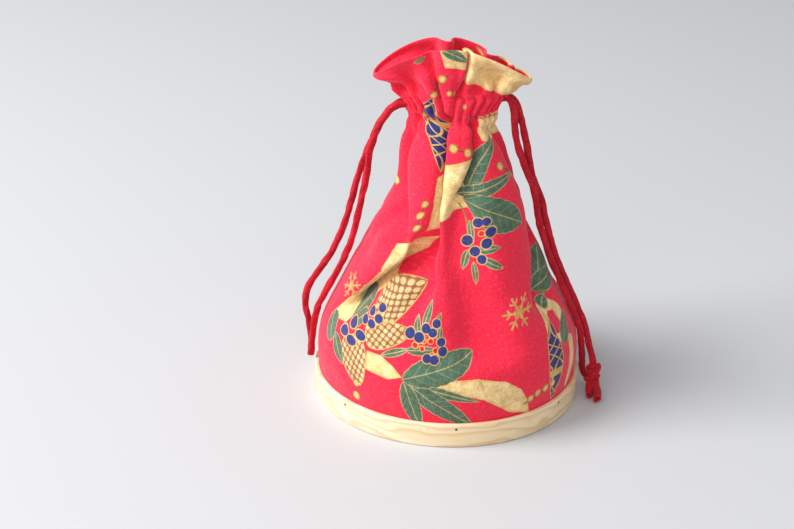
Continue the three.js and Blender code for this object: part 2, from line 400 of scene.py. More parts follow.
# Printed shapes, in millimetres on the flat cloth: to the right of the middle front, up from the lower
# edge. Leaves: foot, tip, width, number of veins.
printedLeaves = [
    ((18, 136), (47, 165), 11, 6),
    ((8, 133), (55, 143), 7.5, 7),
    ((11, 131), (47, 114), 21, 7),
    ((11, 120), (16, 106), 4, 3),
    ((18, 103), (32, 105), 5.5, 3),
    ((21, 99), (34, 93), 5.5, 3),
    ((14, 103), (11, 92), 5, 3),
    ((17, 97), (19, 84), 4, 3),
    ((-38, 43), (-21, 50), 5, 4),
    ((-23, 49), (-6, 51), 6, 4),
    ((-14, 62), (-11, 77), 6, 4),
    ((-16, 57), (-20, 68), 5, 3),
    ((-8, 62), (-4, 71), 4, 3),
    ((-5, 55), (-4, 64), 4, 3),
    ((-70, 53), (-54, 72), 14, 5),
    ((-64, 52), (-52, 62), 9, 4),
    ((-80, 36), (-90, 50), 13, 5),
    ((-78, 42), (-64, 29), 9, 4),
    ((-23, 33), (19, 22), 6, 8),
    ((-22, 32), (16, 7), 12.5, 8),
    ((-23, 32), (-13, 4), 11, 7),
    ((-24, 33), (18, 48), 18, 7),
    ((84, 66), (90, 94), 20, 5),
    ((80, 70), (100, 78), 13, 4),
    ((80, 38), (94, 53), 12, 5),
    ((76, 60), (84, 66), 7, 3),
    ((-6, 215), (9, 209), 7, 3),
    ((-24, 210), (-17, 213), 4, 2),
]
# Gold ribbons, each a few straight-sided lengths given by their corners.
printedRibbons = [
    [(34, 176), (69, 177), (66, 163), (38, 162.5)],
    [(-37, 143.5), (1, 152), (19, 156), (22, 131), (-9, 119), (-36, 111), (-43, 130)],
    [(-28, 107.5), (-56, 102.5), (-56, 94), (-34, 88), (-29, 99)],
    [(-56, 100), (-62, 84), (-46, 76), (-36, 82), (-33, 90)],
    [(-62, 84.5), (-76, 73), (-58, 66), (-45, 75.5)],
    [(-76, 73.5), (-85, 60), (-92, 46), (-72, 49), (-57, 66.5)],
    [(-48, 43), (-38, 43), (-30, 39), (-24, 34), (-32, 31), (-40, 32), (-47, 33)],
    [(-16, 34.5), (18, 35.5), (24, 22), (10, 26)],
    [(17, 35.5), (33, 32), (43, 25), (48, 17), (51, 8), (37, 12), (22, 22)],
    [(74, 63), (85, 63), (83, 57), (76, 58)],
    [(83, 63), (89, 56), (85, 48), (81, 55)],
    [(88, 42), (95, 38), (93, 22), (86, 9), (83, 13)],
    [(12, 197.5), (70, 187.5), (100, 187), (100, 217), (9, 217)],
    [(-4, 205), (8, 204), (9, 218), (-8, 218)],
]
# Round berries and gold beads: (to the right, up, radius).
blueBerries = [
    (16, 119, 3), (20.5, 120, 2.7), (24, 114, 3.3), (23, 107.5, 3.2),
    (12.5, 108, 3.2), (17.5, 102.5, 3), (21.5, 98.5, 2.7),
    (-21.5, 58.5, 3.1), (-16, 57, 3.1), (-12.5, 62, 2.8), (-8.5, 60, 2.7), (-6.5, 65, 2.6),
    (-3.5, 55, 2.6), (-2.5, 50, 2.8), (-7, 45.5, 2.8), (-11, 46, 2.7),
]
leftBerries = [(-48.5, 63.5, 3), (-41.5, 67.5, 3), (-52.5, 58, 3.1), (-42, 61.5, 3.1), (-46.5, 57.5, 3.1)]
# these lie where the cloth slants, and are drawn wider to look round
wideBerries = [(-63, 52.5, 2.9), (-69, 46.5, 2.9), (-54, 49, 2.9), (-61, 44, 3)]
redBerries = [
    (19, 113, 2), (-18, 52.5, 2), (-13.5, 55.5, 1.9),
    (-9.5, 55.5, 1.9), (-6.5, 50.5, 1.9), (-14, 51, 1.7),
]
goldBeads = [
    (1, 160, 2.6), (9, 157.5, 2.5), (14, 156.5, 1.8), (46, 148, 2.5), (55, 141, 2.5),
    (-47, 128, 2.1), (-46, 121.5, 2.3), (-43.5, 114, 2.4), (-91, 134, 2.5), (-53, 22.5, 2.2),
    (-53, 14.5, 2.6), (50, 17, 2.3), (55, 19, 2.5), (61, 20, 2.5), (67, 20.5, 2.4),
    (-5.5, 199, 2.5), (-10, 193, 2.5), (-18, 189, 2.6), (-1.5, 190.5, 1.7), (2.5, 190, 1.7), (14, 182, 2),
    (95, 226, 2.5), (108, 222, 2.5), (122, 219, 2.5), (100, 150, 2.3), (108, 158, 2.3), (117, 165, 2.3),
]
# Cones and baubles: foot, tip, width. Snowflakes: middle, turn, length of an arm.
printedCones = [((-45, 62), (-25, 84), 20), ((-50, 50), (-21, 59), 15), ((-62, 47), (-50, 22), 20)]
printedSnowflakes = [((46, 67), 0.1, 10.5), ((-87, 69), 0.4, 9), ((108, 108), 0.2, 10.5)]
printedBaubles = [((-17, 188), (-35, 146), 21), ((69, 9), (72, 57), 15)]


# Stems and bead threads: from, to, width, ink.
stemInk = (0.3, 0.2, 0.06, 1)
threadInk = (0.1, 0.05, 0.05, 1)
printedLines = [
    ((7, 128), (12, 112), 0.9, stemInk),
    ((12, 112), (19, 100), 0.8, stemInk),
    ((-24, 33), (-8, 36), 1, stemInk),
    ((-21, 50), (-12, 58), 0.8, stemInk),
    ((-4, 160.5), (17, 156), 0.8, threadInk),
    ((44, 149), (57, 140), 0.8, threadInk),
    ((-48, 131), (-43, 111), 0.8, threadInk),
    ((-53, 25), (-53, 12), 0.8, threadInk),
    ((46, 15), (70, 21.5), 0.8, threadInk),
    ((-24, 188), (-2, 201), 0.8, threadInk),
    ((-56, 85), (-50, 93), 0.8, threadInk),
]
printedRings = [((79, 52), 9, 2.6)]  # middle, radius, half the width of its line
printRepeat = {"left": -105, "right": 130.5}  # the print repeats every 235.5 mm across the cloth


def roundMarks(tree, plan, places, squeeze=1.0, swell=1.0):
    # how near the closest of several round marks is, 1 at its edge
    nearest = None
    if squeeze != 1:
        plan = vectorCalc(tree, "MULTIPLY", plan, (squeeze, 1, 1))
    for x, y, radius in places:
        near = calc(tree, "DIVIDE", vectorCalc(tree, "DISTANCE", plan, (x * squeeze, y, 0)), radius * swell)
        nearest = near if nearest is None else calc(tree, "MINIMUM", nearest, near)
    return nearest


def patchEdge(tree, plan, corners):
    # millimetres inside a straight-sided patch
    middle = np.mean(np.array(corners, float), axis=0)
    nearest = None
    for start, end in zip(corners, corners[1:] + corners[:1]):
        normal = np.array([start[1] - end[1], end[0] - start[0]], float)
        normal /= np.linalg.norm(normal)
        offset = normal @ np.array(start, float)
        if normal @ middle < offset:
            normal, offset = -normal, -offset
        inside = minus(tree, vectorCalc(tree, "DOT_PRODUCT", plan, (normal[0], normal[1], 0)), offset)
        nearest = inside if nearest is None else calc(tree, "MINIMUM", nearest, inside)
    return nearest


def stamp(tree, group, plan, under, foot, tip, width, **more):
    reach = (tip[0] - foot[0], tip[1] - foot[1])
    laid = {"Place": (*foot, 0), "Turn": math.atan2(reach[1], reach[0]), "Length": math.hypot(*reach)}
    return useGroup(tree, group, Plan=plan, Under=under, Width=width, **laid, **more)["Colour"]


def makePrint():
    inputs = [("Plan", "Vector", None), ("Ground", "Color", None)]
    tree, s = startGroup("leaf and berry print", inputs, [("Colour", "Color")])
    leaf = makeLeafStamp()
    cone = makeConeStamp()
    flake = makeSnowflakeStamp()
    bauble = makeBaubleStamp()
    line = makeLineStamp()
    flat = splitAxes(tree, s["Plan"])
    wrapped = calc(tree, "WRAP", flat[0], printRepeat["right"], printRepeat["left"])
    plan = joinAxes(tree, wrapped, flat[1])
    colour = s["Ground"]
    for corners in printedRibbons:
        edge = patchEdge(tree, plan, corners)
        tone = blend(tree, times(tree, ramp(tree, edge, 2.2, 0.2), 0.5), ribbonGold, gold)
        colour = blend(tree, ramp(tree, edge, 0, 0.3), colour, tone)
    for place, radius, width in printedRings:
        off = calc(tree, "ABSOLUTE", minus(tree, vectorCalc(tree, "DISTANCE", plan, (*place, 0)), radius))
        colour = blend(tree, ramp(tree, off, width + 0.15, width - 0.15), colour, ribbonGold)
    for place, turn, size in printedSnowflakes:
        drawn = useGroup(tree, flake, Plan=plan, Under=colour, Place=(*place, 0), Turn=turn, Length=size)
        colour = drawn["Colour"]
    for foot, tip, width in printedBaubles:
        colour = stamp(tree, bauble, plan, colour, foot, tip, width)
    for foot, tip, width in printedCones:
        colour = stamp(tree, cone, plan, colour, foot, tip, width, Scales=(0.68, 0.47, 0.21, 1))
    for foot, tip, width, ink in printedLines:
        colour = stamp(tree, line, plan, colour, foot, tip, width, Ink=ink)
    for foot, tip, width, veins in printedLeaves:
        colour = stamp(tree, leaf, plan, colour, foot, tip, width, Veins=veins)
    near = roundMarks(tree, plan, goldBeads)
    bead = blend(tree, ramp(tree, near, 0.5, 0.95), (0.78, 0.5, 0.16, 1), (0.42, 0.2, 0.04, 1))
    colour = blend(tree, ramp(tree, near, 1.04, 0.96), colour, bead)
    near = roundMarks(tree, plan, redBerries)
    ring = blend(tree, ramp(tree, near, 0.66, 0.78), (0.62, 0.01, 0.02, 1), gold)
    colour = blend(tree, ramp(tree, near, 1.06, 0.98), colour, ring)
    near = roundMarks(tree, plan, blueBerries, swell=1.04)
    wide = roundMarks(tree, plan, leftBerries, 0.8, 0.86)
    widest = roundMarks(tree, plan, wideBerries, 0.62)
    near = calc(tree, "MINIMUM", near, calc(tree, "MINIMUM", wide, widest))
    berry = blend(tree, ramp(tree, near, 0.84, 0.92), berryBlue, gold)
    colour = blend(tree, ramp(tree, near, 1.12, 1.04), colour, berry)
    return endGroup(tree, Colour=colour)


def makeUnevenInk():
    # printed ink lies unevenly on the cloth; the dyed ground, which has next to no green in it, does not
    inputs = [("Plan", "Vector", None), ("Colour", "Color", None), ("Amount", "Float", 1)]
    group, s = startGroup("uneven ink", inputs, [("Colour", "Color")])
    speckled = noise(group, s["Plan"], 1.5, 2)
    cloudy = times(group, noise(group, s["Plan"], 0.17, 4, 0.7), 0.6)
    cloudy = calc(group, "MULTIPLY_ADD", speckled, 0.4, cloudy)
    share = ramp(group, cloudy, 0.38, 0.62)
    parts = group.nodes.new("ShaderNodeSeparateColor")
    group.links.new(s["Colour"], parts.inputs[0])
    inked = times(group, ramp(group, parts.outputs[1], 0.03, 0.045), s["Amount"])
    thick = vectorCalc(group, "MULTIPLY", s["Colour"], (0.72, 0.62, 0.5))
    thin = vectorCalc(group, "MULTIPLY", s["Colour"], (1.14, 1.26, 1.45))
    return endGroup(group, Colour=blend(group, inked, s["Colour"], blend(group, share, thick, thin)))


def makeWeave():
    # plain weave: threads over and under, with slubs and uneven colour
    inputs = [("Plan", "Vector", None), ("Colour", "Color", None), ("Pitch", "Float", 0.45)]
    group, s = startGroup("plain weave", inputs, [("Colour", "Color"), ("Height", "Float")])
    even = vectorCalc(group, "SCALE", s["Plan"], calc(group, "DIVIDE", math.pi, s["Pitch"]))
    flat = splitAxes(group, even)
    warp = calc(group, "SINE", flat[0])
    weft = calc(group, "SINE", flat[1])
    over = times(group, warp, weft)
    slub = noise(group, s["Plan"], 0.7, 4, 0.75)
    fuzz = noise(group, s["Plan"], 2.4, 3, 0.7)
    height = plus(group, times(group, over, 0.5), plus(group, slub, times(group, fuzz, 0.7)))
    # slubs and fuzz vary the tone at random; the thread crossings are lightened and darkened a little as
    # painted highlight and shade
    shade = calc(group, "MULTIPLY_ADD", slub, 0.5, 0.54)
    shade = calc(group, "MULTIPLY_ADD", over, 0.07, shade)
    shade = calc(group, "MULTIPLY_ADD", fuzz, 0.42, shade)
    tinted = vectorCalc(group, "SCALE", s["Colour"], shade)
    lint = times(group, ramp(group, slub, 0.52, 0.75), 0.16)
    tinted = blend(group, lint, tinted, (0.95, 0.5, 0.5, 1))
    return endGroup(group, Colour=tinted, Height=height)


def makeStitches():
    # two rows of small stitches that hold the drawstring channel, with painted shade in the grooves they
    # pull into the cloth
    inputs = [
        ("Plan", "Vector", None),
        ("Colour", "Color", None),
        ("Lower", "Float", 175),
        ("Upper", "Float", 187.2),
        ("Every", "Float", 2.4),
    ]
    group, s = startGroup("stitch rows", inputs, [("Colour", "Color"), ("Height", "Float")])
    across, up = splitAxes(group, s["Plan"])[:2]
    lower = calc(group, "ABSOLUTE", minus(group, up, s["Lower"]))
    upper = calc(group, "ABSOLUTE", minus(group, up, s["Upper"]))
    row = ramp(group, calc(group, "MINIMUM", lower, upper), 0.45, 0.2)
    dash = calc(group, "PINGPONG", calc(group, "DIVIDE", across, s["Every"]), 0.5)
    thread = times(group, row, ramp(group, dash, 0.1, 0.18))
    grooveAndShade = ramp(group, calc(group, "MINIMUM", lower, upper), 1.4, 0.2)
    # painted shade: the cloth is darkened to a deep red along the grooves of the stitch rows
    colour = blend(group, times(group, grooveAndShade, 0.25), s["Colour"], (0.3, 0.004, 0.012, 1))
    colour = blend(group, thread, colour, (0.62, 0.02, 0.05, 1))
    height = minus(group, times(group, thread, 1.2), grooveAndShade)
    return endGroup(group, Colour=colour, Height=height)


clothFinish = {
    "ground": (0.84, 0.015, 0.052, 1),
    "roughness": 0.84,
    "sheen": 0.3,
    "pitch": 0.45,
    "bump": 0.4,
    "bumpDepth": 0.13 * mm,
    "creases": 0.9,
    "creaseDepth": 2.2 * mm,
    "creaseScale": 0.075,
    "lowerStitches": 175,  # millimetres up the flat cloth
    "upperStitches": 187.2,
    "inkUnevenness": 0.75,
}


def makeClothMaterial():
    material, tree, shader = startMaterial("printed cotton")
    plan = flatMillimetres(tree, "clothPlan")
    drawn = useGroup(tree, makePrint(), Plan=plan, Ground=clothFinish["ground"])
    ink = {"Colour": drawn["Colour"], "Amount": clothFinish["inkUnevenness"]}
    inked = useGroup(tree, makeUnevenInk(), Plan=plan, **ink)
    rows = {"Lower": clothFinish["lowerStitches"], "Upper": clothFinish["upperStitches"]}
    sewn = useGroup(tree, makeStitches(), Plan=plan, Colour=inked["Colour"], **rows)
    weave = useGroup(tree, plainWeave, Plan=plan, Colour=sewn["Colour"], Pitch=clothFinish["pitch"])
    height = plus(tree, weave["Height"], sewn["Height"])
    soft = noise(tree, plan, clothFinish["creaseScale"], 3, 0.55)
    creases = relief(tree, soft, clothFinish["creases"], clothFinish["creaseDepth"])
    raised = relief(tree, height, clothFinish["bump"], clothFinish["bumpDepth"], creases)
    tree.links.new(weave["Colour"], shader.inputs["Base Color"])
    tree.links.new(raised, shader.inputs["Normal"])
    shader.inputs["Roughness"].default_value = clothFinish["roughness"]
    shader.inputs["Sheen Weight"].default_value = clothFinish["sheen"]
    shader.inputs["Sheen Roughness"].default_value = 0.5
    shader.inputs["Sheen Tint"].default_value = (1, 0.55, 0.6, 1)
    shader.inputs["Specular IOR Level"].default_value = 0.25
    return material


plainWeave = makeWeave()
clothMaterial = makeClothMaterial()
print("print and weave ready")


cordFinish = {
    "colour": (0.4, 0.004, 0.014, 1),
    "faded": (0.56, 0.008, 0.026, 1),
    "roughness": 0.86,
    "sheen": 0.12,
    "bump": 0.5,
    "bumpDepth": 0.15 * mm,
    "pitch": 0.42,
}


def makeCordMaterial():
    material, tree, shader = startMaterial("red cotton strip")
    plan = flatMillimetres(tree, "cordPlan")
    faded = ramp(tree, noise(tree, plan, 0.09, 3, 0.6), 0.3, 0.75)
    red = blend(tree, faded, cordFinish["colour"], cordFinish["faded"])
    weave = useGroup(tree, plainWeave, Plan=plan, Colour=red, Pitch=cordFinish["pitch"])
    raised = relief(tree, weave["Height"], cordFinish["bump"], cordFinish["bumpDepth"])
    tree.links.new(weave["Colour"], shader.inputs["Base Color"])
    tree.links.new(raised, shader.inputs["Normal"])
    shader.inputs["Roughness"].default_value = cordFinish["roughness"]
    shader.inputs["Sheen Weight"].default_value = cordFinish["sheen"]
    shader.inputs["Sheen Tint"].default_value = (1, 0.5, 0.55, 1)
    shader.inputs["Specular IOR Level"].default_value = 0.2
    return material


cordMaterial = makeCordMaterial()


def makePineGroup():
    # growth rings running lengthwise, with fine fibres, slow random patches from cream to honey, and
    # painted shade: the same honey tone added from the material towards one side
    inputs = [
        ("Grain", "Vector", None),
        ("Pale", "Color", (0.9, 0.76, 0.54, 1)),
        ("Late", "Color", (0.66, 0.42, 0.19, 1)),
        ("Rings", "Float", 0.2),
        ("Warmth", "Float", 0),
    ]
    outputs = [("Colour", "Color"), ("Height", "Float"), ("Rough", "Float")]
    group, s = startGroup("pine grain", inputs, outputs)
    grain = splitAxes(group, s["Grain"])
    slow = vectorCalc(group, "MULTIPLY", s["Grain"], (0.022, 0.07, 0.07))
    wander = noise(group, slow, 1, 2, 0.45)
    level = calc(group, "MULTIPLY_ADD", wander, 5.5, times(group, grain[1], s["Rings"]))
    saw = calc(group, "FRACT", level)
    late = times(group, ramp(group, saw, 0.35, 0.86), ramp(group, saw, 1, 0.93))
    fibrous = vectorCalc(group, "MULTIPLY", s["Grain"], (0.09, 2.6, 2.6))
    fibres = noise(group, fibrous, 1, 3, 0.65)
    patchy = vectorCalc(group, "MULTIPLY", s["Grain"], (0.02, 0.12, 0.12))
    patches = ramp(group, noise(group, patchy, 1, 2), 0.35, 0.7)
    # random warm patches of the wood, plus painted shade fed in from the material
    warm = calc(group, "MINIMUM", calc(group, "MULTIPLY_ADD", patches, 0.45, s["Warmth"]), 1)
    pale = blend(group, warm, s["Pale"], (0.84, 0.62, 0.36, 1))
    dark = times(group, late, calc(group, "MULTIPLY_ADD", fibres, 0.5, 0.3))
    colour = blend(group, dark, pale, s["Late"])
    colour = vectorCalc(group, "SCALE", colour, calc(group, "MULTIPLY_ADD", fibres, 0.24, 0.88))
    height = plus(group, times(group, fibres, 0.6), times(group, late, 0.35))
    rough = calc(group, "MULTIPLY_ADD", fibres, 0.2, 0.46)
    return endGroup(group, Colour=colour, Height=height, Rough=rough)


pineGrain = makePineGroup()

pineFinish = {
    "ringRadius": 77,  # millimetres, where the grain is measured round the ring
    "shadeReach": 70,  # painted shade: the wood grows warmer and darker from this far on one side to this far on the other
    "lateWood": (0.66, 0.42, 0.19, 1),
    "plainLateWood": (0.6, 0.38, 0.17, 1),
    "bump": 0.35,
    "bumpDepth": 0.1 * mm,
    "shine": 0.35,
}


def makePineMaterial(name, bent, rings, late, sideShade):
    # bent wood has its grain running round the ring, a board has it running from side to side
    material, tree, shader = startMaterial(name)
    place = standingMillimetres(tree)
    right, back, up = splitAxes(tree, place)
    if bent:
        # the join of this measure round the ring falls on its seam at the back
        angle = calc(tree, "ARCTAN2", right, times(tree, back, -1))
        roundRing = times(tree, angle, pineFinish["ringRadius"])
        grain = joinAxes(tree, roundRing, up, stepLength(tree, right, back))
    else:
        grain = place
    # painted shade: warmer, darker wood towards the right of a band and the back of a board, standing in
    # for the sides in shade
    shadedSide = ramp(tree, right if bent else back, -pineFinish["shadeReach"], pineFinish["shadeReach"])
    share = times(tree, shadedSide, sideShade)
    pine = useGroup(tree, pineGrain, Grain=grain, Rings=rings, Late=late, Warmth=share)
    tree.links.new(pine["Colour"], shader.inputs["Base Color"])
    tree.links.new(pine["Rough"], shader.inputs["Roughness"])
    raised = relief(tree, pine["Height"], pineFinish["bump"], pineFinish["bumpDepth"])
    tree.links.new(raised, shader.inputs["Normal"])
    shader.inputs["Specular IOR Level"].default_value = pineFinish["shine"]
    return material


bandMaterial = makePineMaterial("pale bent pine", True, 0.17, pineFinish["lateWood"], 0.6)
innerBandMaterial = makePineMaterial("plain bent pine", True, 0.24, pineFinish["plainLateWood"], 0.4)
boardMaterial = makePineMaterial("plain pine board", False, 0.1, pineFinish["plainLateWood"], 0.5)


def makeNailMaterial():
    # small dark brads, worn brighter in places
    material, tree, shader = startMaterial("dark brad")
    place = standingMillimetres(tree)
    worn = ramp(tree, noise(tree, place, 2.2, 4, 0.6), 0.45, 0.7)
    fine = noise(tree, place, 9, 2)
    metal = blend(tree, worn, (0.045, 0.04, 0.036, 1), (0.3, 0.26, 0.22, 1))
    tree.links.new(metal, shader.inputs["Base Color"])
    tree.links.new(calc(tree, "MULTIPLY_ADD", fine, 0.3, 0.3), shader.inputs["Roughness"])
    tree.links.new(calc(tree, "MULTIPLY_ADD", worn, 0.35, 0.6), shader.inputs["Metallic"])
    tree.links.new(relief(tree, fine, 0.3, 0.05 * mm), shader.inputs["Normal"])
    return material


nailMaterial = makeNailMaterial()


drawstring = {
    "diameter": 4 * mm,
    "around": 18,
    "step": 1.1 * mm,
    "creaseDepth": 0.3,
    "creaseTurns": 9.0,  # how often the lengthwise crease turns round, per metre
    "creases": ((0.0, 1.0, 0.42), (2.3, 0.55, 0.36), (4.1, 0.7, 0.4)),  # angle round, depth, spread
}

leftFrontRoute = [
    (-24.4, -2.4, 172.6),
    (-29, -2.4, 172.6),
    (-31.6, -2.4, 171.8),
    (-35.2, -2.4, 169.2),
    (-38, -2.4, 165),
    (-41.2, -2.4, 159.5),
    (-46, -2.4, 146),
    (-47.6, -2.4, 132.5),
    (-50.8, -2.4, 115),
    (-53, -2.4, 104.5),
    (-55.2, -2.4, 94),
    (-58.8, -2.4, 83),
    (-63.4, -2.4, 72.5),
    (-68.2, -2.4, 63),
    (-72.2, -2.4, 55),
    (-75.4, -2.4, 48),
    (-77.6, -2.4, 40),
    (-78.8, -2.4, 31),
    (-79.6, -2.4, 24),
    (-80.2, -2.4, 16),
]
leftBackRoute = [
    (-24.4, 2.4, 172.6),
    (-29, 2.4, 172.6),
    (-31.6, 2.4, 171.5),
    (-35.6, 2.4, 168.2),
    (-39, 2.4, 163),
    (-43.2, 2.4, 155),
    (-48.6, 2.4, 141),
    (-53.3, 2.4, 126.5),
    (-57.8, 2.4, 108),
    (-62.3, 2.4, 93.5),
    (-68.7, 2.4, 79),
    (-76.2, 2.4, 67.5),
    (-81.6, 2.4, 58),
    (-83.6, 2.4, 48.5),
    (-82.6, 2.4, 40.5),
    (-81, 2.4, 33),
    (-80.4, 2.4, 25),
    (-80.2, 2.4, 17),
]
rightFrontRoute = [
    (24.4, -2.4, 177.4),
    (29, -2.4, 177.4),
    (31.6, -2.4, 175.4),
    (33.2, -2.4, 169.5),
    (34, -2.6, 160.5),
    (36.8, -2.8, 148.5),
    (42, -3, 134.5),
    (45.8, -3, 126),
    (48, -3, 117),
    (49.6, -3.5, 107),
    (53, -4.5, 96.5),
    (57, -5.5, 85),
    (61.6, -6, 75),
    (66.2, -6, 65),
    (70.6, -5.5, 55.5),
    (74.6, -5, 46.5),
    (77.6, -4, 36.5),
    (78.9, -2, 26),
    (80.2, 1, 17),
    (80.6, 3.6, 10.5),
    (82, 3.4, 5.9),
    (84, 0.4, 6),
]
rightBackRoute = [
    (24.4, 2.4, 177.4),
    (29, 2.4, 177.4),
    (32.4, 2.4, 175.6),
    (35.6, 2.2, 170),
    (38.4, 2.2, 160),
    (41.4, 2.2, 147.5),
    (44.6, 2.2, 133),
    (47.8, 2.2, 124),
    (51.4, 1.8, 116),
    (53.6, 1, 106),
    (57, 0, 95),
    (60.8, -1, 83),
    (66.2, -1.4, 71),
    (70.8, -1.2, 61),
    (75.2, -0.8, 51),
    (79.2, -0.4, 41.5),
    (82, -1, 32),
    (84.4, -3, 24),
    (86, -5.4, 18.1),
]


def evenPath(route, step, scale=mm):
    # points a step apart along a smooth curve through the route
    fine = smoothThrough(route, np.linspace(0, len(route) - 1, 60 * len(route))) * scale
    lengths = np.concatenate([[0], np.cumsum(np.linalg.norm(np.diff(fine, axis=0), axis=1))])
    count = max(4, int(round(lengths[-1] / step)))
    marks = np.linspace(0, lengths[-1], count + 1)
    return np.stack([np.interp(marks, lengths, fine[:, k]) for k in range(3)], 1), lengths[-1]


def framesAlong(path):
    # two sideways directions at each point, carried along without twist
    tangents = np.gradient(path, axis=0)
    tangents /= np.linalg.norm(tangents, axis=1)[:, None]
    side = np.cross(tangents[0], (0.0, 1.0, 0.1))
    side /= np.linalg.norm(side)
    sides, ups = [], []
    for tangent in tangents:
        side = side - tangent * (side @ tangent)
        side /= np.linalg.norm(side)
        sides.append(side)
        ups.append(np.cross(tangent, side))
    return tangents, np.array(sides), np.array(ups)


def softTube(name, path, width, seed, material, squash=0.9, hollowEnds=(False, True)):
    # a strip of cloth folded into a soft tube: oval, creased lengthwise and slowly turning
    random = np.random.default_rng(seed)
    tangents, sides, ups = framesAlong(path)
    count = len(path)
    along = np.arange(count) * np.linalg.norm(path[1] - path[0])
    waves = random.uniform(0, 2 * math.pi, 6)
    turn = waves[0] + drawstring["creaseTurns"] * along * 2 * math.pi
    turn += 0.9 * np.sin(along * 2 * math.pi / 0.037 + waves[1])
    swell = 1 + 0.05 * np.sin(along * 2 * math.pi / 0.023 + waves[2])
    swell = swell + 0.035 * np.sin(along * 2 * math.pi / 0.0091 + waves[3])
    around = drawstring["around"]
    angles = np.arange(around) * 2 * math.pi / around
    rings = []
    for i in range(count):
        lean = angles - turn[i]
        radius = 1 + (squash - 1) * np.sin(lean) ** 2
        for offset, depth, spread in drawstring["creases"]:
            gap = (lean - offset + math.pi) % (2 * math.pi) - math.pi
            radius = radius - drawstring["creaseDepth"] * depth * np.exp(-((gap / spread) ** 2))
        radius = radius * swell[i] * 1.1 * width / 2
        ring = path[i] + np.outer(radius * np.cos(angles), sides[i])
        rings.append(ring + np.outer(radius * np.sin(angles), ups[i]))
    for end in (0, -1):
        outward = -tangents[0] if end == 0 else tangents[-1]
        middle = path[end]
        spokes = rings[end] - middle
        inner = [middle + spokes * 0.86 + outward * 0.12 * width]
        if hollowEnds[end]:
            inner.append(middle + spokes * 0.62)
            inner.append(middle + spokes * 0.3 - outward * 0.4 * width)
        else:
            inner.append(middle + spokes * 0.4 + outward * 0.2 * width)
        rings = inner[::-1] + rings if end == 0 else rings + inner
    points = np.concatenate(rings)
    faces = ringFaces(len(rings), around)
    faces.append(tuple(range(around))[::-1])
    faces.append(tuple((len(rings) - 1) * around + j for j in range(around)))
    piece = newPiece(name, points, faces, material)
    girth = math.pi * width
    flat = []
    for i in range(len(rings) - 1):
        low, high = i * drawstring["step"], (i + 1) * drawstring["step"]
        for j in range(around):
            left, right = j * girth / around, (j + 1) * girth / around
            flat += [(low, left), (low, right), (high, right), (high, left)]
    for face in faces[-2:]:
        for v in face:
            angle = angles[v % around]
            flat.append((0.3 * width * math.cos(angle), 0.3 * width * math.sin(angle)))
    piece.data.uv_layers.new(name="cordPlan").data.foreach_set("uv", np.array(flat).reshape(-1))
    return piece


def makeTail(name, route, seed, farEnd, replaced):
    path, length = evenPath(route, drawstring["step"])
    hollowEnds = (False, farEnd == "bare")
    piece = softTube(name, path, drawstring["diameter"], seed, cordMaterial, hollowEnds=hollowEnds)
    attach(piece, "root")
    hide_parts(*replaced)
    return piece


knot = {
    "middle": (86.1, -7.2, 12.2),
    "lean": (0.04, -0.42, -0.9),  # which way it hangs
    "height": 8,
    "wraps": 2.6,
    "wrapRadius": 2.7,
    "startAngle": 0.6,
    "strand": 3.7 * mm,
    "endWidth": 5.2 * mm,
    "step": 0.6 * mm,
}
# over the front of the wraps, from lower left to upper right, in millimetres from the knot's middle
knotCrossing = [
    (-1.8, 2, -3.6),
    (-3.4, -0.6, -4),
    (-3, -3, -2.6),
    (-1.2, -4.6, -0.4),
    (1.2, -4.2, 2.2),
    (2.8, -2.2, 4),
    (2.6, 0.4, 4.6),
]
knotFrontEnd = [
    (85.4, -6.6, 11),
    (85.2, -9, 9),
    (84.6, -11, 6.6),
    (84.2, -13, 4.6),
    (84, -15.4, 3.2),
    (83.8, -18, 2.6),
]
knotBackEnd = [
    (86.8, -6.6, 11),
    (87.2, -9, 9),
    (87.8, -11.6, 6.8),
    (88.2, -14.4, 4.8),
    (88.4, -18, 3.4),
    (88.2, -22, 2.8),
]


def makeKnot():
    middle = np.array(knot["middle"])
    lean = Vector(knot["lean"]).normalized()
    side = lean.cross(Vector((0, 1, 0))).normalized()
    front = lean.cross(side)
    wraps = []
    for t in np.linspace(0, 1, 26):
        angle = knot["startAngle"] + t * knot["wraps"] * 2 * math.pi
        radius = knot["wrapRadius"] * (1 - 0.3 * (2 * t - 1) ** 2)
        around = side * math.cos(angle) * radius + front * math.sin(angle) * radius
        wraps.append(middle + np.array(around + lean * (t - 0.5) * knot["height"]))
    # a short straight lead into the wraps, and out of them again
    hang = np.array(lean)
    wraps = [middle - hang * 6.4, middle - hang * 4.6] + wraps + [middle + hang * 2]
    crossing = [middle + np.array(step) for step in knotCrossing]
    parts = []
    for name, route, width, seed, squash in (
        ("right_knot_tied", wraps, knot["strand"], 21, 0.86),
        ("knot crossing", crossing, knot["strand"], 22, 0.8),
        ("knot front end", knotFrontEnd, knot["endWidth"], 23, 0.72),
        ("knot back end", knotBackEnd, knot["endWidth"], 28, 0.72),
    ):
        path = evenPath(route, knot["step"])[0]
        hollowEnds = (False, name.endswith("end"))
        parts.append(softTube(name, path, width, seed, cordMaterial, squash, hollowEnds))
    deselectAll()
    for part in parts:
        part.select_set(True)
    bpy.context.view_layer.objects.active = parts[0]
    bpy.ops.object.join()
    tied = bpy.context.object
    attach(tied, "root")
    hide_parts("right_knot")
    return tied


tiedKnot = makeKnot()
leftFrontNodes = ["left_front_tail", "left_drawstring_run"]
rightFrontNodes = ["right_front_tail", "right_drawstring_run"]
makeTail("left_front_drawstring", leftFrontRoute, 3, "bare", leftFrontNodes)
makeTail("left_back_drawstring", leftBackRoute, 8, "bare", ["left_back_tail"])
makeTail("right_front_drawstring", rightFrontRoute, 5, "knot", rightFrontNodes)
makeTail("right_back_drawstring", rightBackRoute, 11, "knot", ["right_back_tail"])
print("drawstrings hung")


